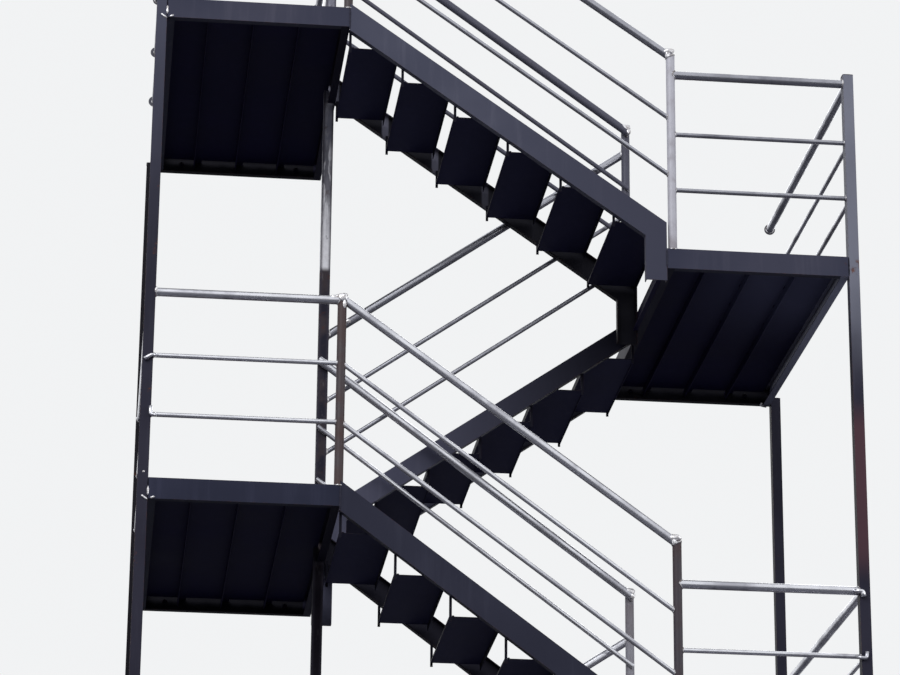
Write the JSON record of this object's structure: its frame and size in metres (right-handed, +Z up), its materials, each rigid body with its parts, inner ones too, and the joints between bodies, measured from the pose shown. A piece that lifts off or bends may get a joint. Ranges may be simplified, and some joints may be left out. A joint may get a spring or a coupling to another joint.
{
  "type": "fire escape stair",
  "caption": "Outdoor steel fire escape stair: straight flights in two lanes turn at landings carried by square tube posts, with tube guards",
  "frame": {"origin": "middle of the footprint over the base plates, at ground level", "axes": "+X along the wall to the right as seen from the street, +Y from the street towards the wall, +Z up"},
  "size_m": [4.17, 2.4, 11.205],
  "materials": {
    "post_paint": "dark blue-grey paint with rust",
    "scraped_post": "scraped white paint over rust",
    "frame_paint": "weathered blue-grey paint",
    "deck_steel": "dark paint, grimy underside",
    "stringer_paint": "weathered blue-grey paint",
    "tread_steel": "dark paint, worn edges",
    "pipe_steel": "weathered galvanised pipe"
  },
  "bodies": {
    "root": {"front_posts": "post_paint", "middle_post": "scraped_post", "back_posts": "post_paint", "landing_1_frame": "frame_paint", "landing_2_frame": "frame_paint", "landing_3_frame": "frame_paint", "landing_4_frame": "frame_paint", "landing_5_frame": "frame_paint", "landing_6_frame": "frame_paint", "landing_7_frame": "frame_paint", "landing_1_deck": "deck_steel", "landing_2_deck": "deck_steel", "landing_3_deck": "deck_steel", "landing_4_deck": "deck_steel", "landing_5_deck": "deck_steel", "landing_6_deck": "deck_steel", "landing_7_deck": "deck_steel", "landing_1_guard": "pipe_steel", "landing_2_guard": "pipe_steel", "landing_3_guard": "pipe_steel", "landing_4_guard": "pipe_steel", "landing_5_guard": "pipe_steel", "landing_6_guard": "pipe_steel", "landing_7_guard": "pipe_steel", "flight_1_stringers": "stringer_paint", "flight_2_stringers": "stringer_paint", "flight_3_stringers": "stringer_paint", "flight_4_stringers": "stringer_paint", "flight_5_stringers": "stringer_paint", "flight_6_stringers": "stringer_paint", "flight_7_stringers": "stringer_paint", "flight_1_treads": "tread_steel", "flight_2_treads": "tread_steel", "flight_3_treads": "tread_steel", "flight_4_treads": "tread_steel", "flight_5_treads": "tread_steel", "flight_6_treads": "tread_steel", "flight_7_treads": "tread_steel", "flight_1_guards": "pipe_steel", "flight_2_guards": "pipe_steel", "flight_3_guards": "pipe_steel", "flight_4_guards": "pipe_steel", "flight_5_guards": "pipe_steel", "flight_6_guards": "pipe_steel", "flight_7_guards": "pipe_steel"}
  },
  "joints": []
}
